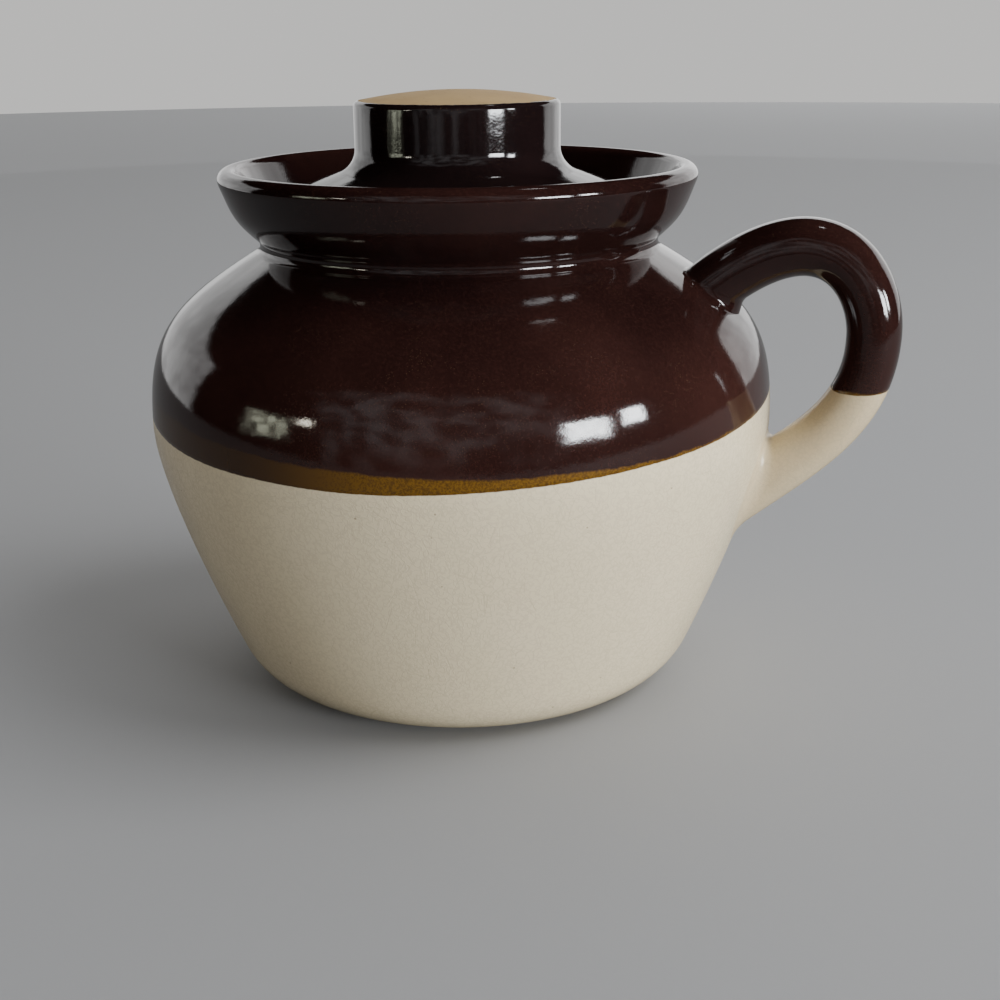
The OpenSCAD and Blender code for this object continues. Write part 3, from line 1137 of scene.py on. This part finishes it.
@dataclass
class Studio:
    """The floor, the room, the lights, what the glaze reflects, and the camera."""

    camera_bearing: float = -73.0
    camera_distance: float = 428.1 * MM
    camera_height: float = 186.6 * MM
    look_bearing: float = 105.57
    pitch: float = -17.92
    roll: float = -0.64
    lens: float = 54.0
    film: float = 36.0
    near: float = 0.01
    floor_r: float = 3.0
    table_r: float = 1.1
    table_back: float = 0.62
    table_h: float = 0.4 * MM
    floor_colour: Colour = (0.275, 0.28, 0.29)
    table_colour: Colour = (0.13, 0.133, 0.137)
    room: Span = (0.26, 0.68)
    room_fades: Span = (-0.35, 0.75)
    room_tilt: float = 0.12
    room_colour: Colour = (1.0, 0.99, 0.97)
    aim: Colour = (0.0, 0.0, 0.08)
    # Name, bearing, elevation, distance, width, height, brightness and colour of each light
    lights: tuple[Softbox, ...] = (
        Softbox("window", -24.0, 5.0, 1.6, 0.70, 0.34, 41.0, (0.97, 0.985, 1.0)),
        Softbox("key", 2.0, 46.0, 1.9, 1.2, 1.2, 7.6),
        Softbox("sheet_glow_right", 72.0, 9.0, 3.2, 4.4, 2.6, 1.9),
        Softbox("sheet_glow_left", 142.0, 9.0, 3.2, 4.4, 2.6, 0.35),
        Softbox("fill", -110.0, 30.0, 2.4, 1.6, 1.2, 0.35, (1.0, 0.80, 0.52)),
    )
    # The same of each reflection, with its soft edge, patch size and patchiness before its colour
    reflections: tuple[Reflection, ...] = (
        Reflection("window_right", -12.5, 8.5, 1.6, 0.26, 0.29, 62.0, 0.3, 0.05, 0.25, (0.93, 0.97, 1.0)),
        Reflection("window_left", -30.5, 5.5, 1.6, 0.50, 0.34, 60.0, 0.3, 0.09, 0.35, (0.93, 0.97, 1.0)),
        Reflection("leaves_bright", -129.0, 8.5, 1.7, 0.24, 0.12, 36.0, 0.5, 0.04, 0.9, (1.0, 0.95, 0.80)),
        Reflection("leaves_dim", -144.0, 3.5, 1.7, 0.62, 0.40, 7.0, 0.5, 0.08, 1.0, (0.88, 0.93, 0.72)),
        Reflection("sheet_right", 72.0, 6.0, 3.2, 4.6, 2.4, 1.9, 0.12, 0.7, 0.3),
        Reflection("sheet_left", 142.0, 6.0, 3.2, 4.6, 2.4, 1.4, 0.12, 0.7, 0.3),
        Reflection("skylight", 56.0, 70.0, 1.8, 0.12, 0.16, 16.0, 0.4, 0.04, 0.4),
        Reflection("room_front", -80.0, 17.0, 2.2, 5.0, 2.6, 0.62, 0.7, 0.45, 0.9, (0.96, 0.97, 1.0)),
    )

    def build_camera(self) -> None:
        """Puts the camera where the photograph was taken from."""
        data = bpy.data.cameras.new("view")
        data.sensor_width = self.film
        data.lens = self.lens
        data.clip_start = self.near
        camera = placed("view", data)
        roll = math.radians(self.roll)
        forward = heading(self.look_bearing, self.pitch)
        right = forward.cross(Vector(UP)).normalized()
        up = right.cross(forward)
        side = right * math.cos(roll) + up * math.sin(roll)
        top = up * math.cos(roll) - right * math.sin(roll)
        axes = Matrix((side, top, -forward)).transposed().to_4x4()
        place = heading(self.camera_bearing, 0.0) * self.camera_distance
        place.z = self.camera_height
        camera.matrix_world = Matrix.Translation(place) @ axes
        bpy.context.scene.camera = camera

    def build_disc(
        self, name: str, radius: float, back: float, height: float, colour: Colour
    ) -> Object:
        """Builds a flat disc of the floor.

        Args:
            name: Name of the disc.
            radius: Its radius.
            back: How far its centre lies behind the pot.
            height: Height of its face.
            colour: Its colour.

        Returns:
            The disc.
        """
        place = heading(self.look_bearing, 0.0) * back + Vector(UP) * height
        skin = bmesh.new()
        bmesh.ops.create_circle(skin, cap_ends=True, segments=128, radius=radius)
        bmesh.ops.translate(skin, verts=skin.verts, vec=place)
        graph = Graph.new(name)
        tone = graph.mix(graph.noise(0.6, 2.0), colour, tuple(0.97 * part for part in colour))
        material = graph.finish(tone, 0.9, graph.noise(2 * MM, 2.0), 0.02 * MM)
        disc = finished(skin, name, [material])
        return disc

    def build_floor(self) -> None:
        """Lays the plain pale floor, and the smaller and darker disc that the glaze reflects instead."""
        floor = self.build_disc("floor", self.floor_r, 0.0, 0.0, self.floor_colour)
        floor.visible_glossy = False
        table = self.build_disc("table", self.table_r, self.table_back, self.table_h, self.table_colour)
        only_reflected(table)

    def build_room(self) -> None:
        """Surrounds the pot with soft light, brighter behind it than in front."""
        world = bpy.data.worlds.new("room")
        bpy.context.scene.world = world
        graph = Graph(world)
        place = graph.node("ShaderNodeTexCoord").outputs["Generated"]
        back = heading(self.look_bearing, 0.0) + Vector(UP) * self.room_tilt
        behind = graph.node("ShaderNodeVectorMath", {0: place, 1: back}, operation="DOT_PRODUCT")
        dim, bright = self.room
        rise = graph.step(behind.outputs["Value"], *self.room_fades)
        strength = graph.math("MULTIPLY_ADD", rise, bright - dim, dim)
        light = graph.node("ShaderNodeBackground", {"Color": self.room_colour, "Strength": strength})
        graph.node("ShaderNodeOutputWorld", {"Surface": light.outputs["Background"]})
        world.cycles_visibility.glossy = False

    def build(self) -> None:
        """Builds the whole studio."""
        self.build_camera()
        self.build_floor()
        self.build_room()
        for light in (*self.lights, *self.reflections):
            light.build(Vector(self.aim))


def main() -> None:
    """Builds the pot, its handle and its lid, and then the studio."""
    pot = Pot()
    pieces = [pot.dress(), Handle(pot).dress(), *Lid(pot).dress()]
    for piece in pieces:
        log.info("%s is in place", piece.name)
    Studio().build()


if __name__ == "__main__":
    main()
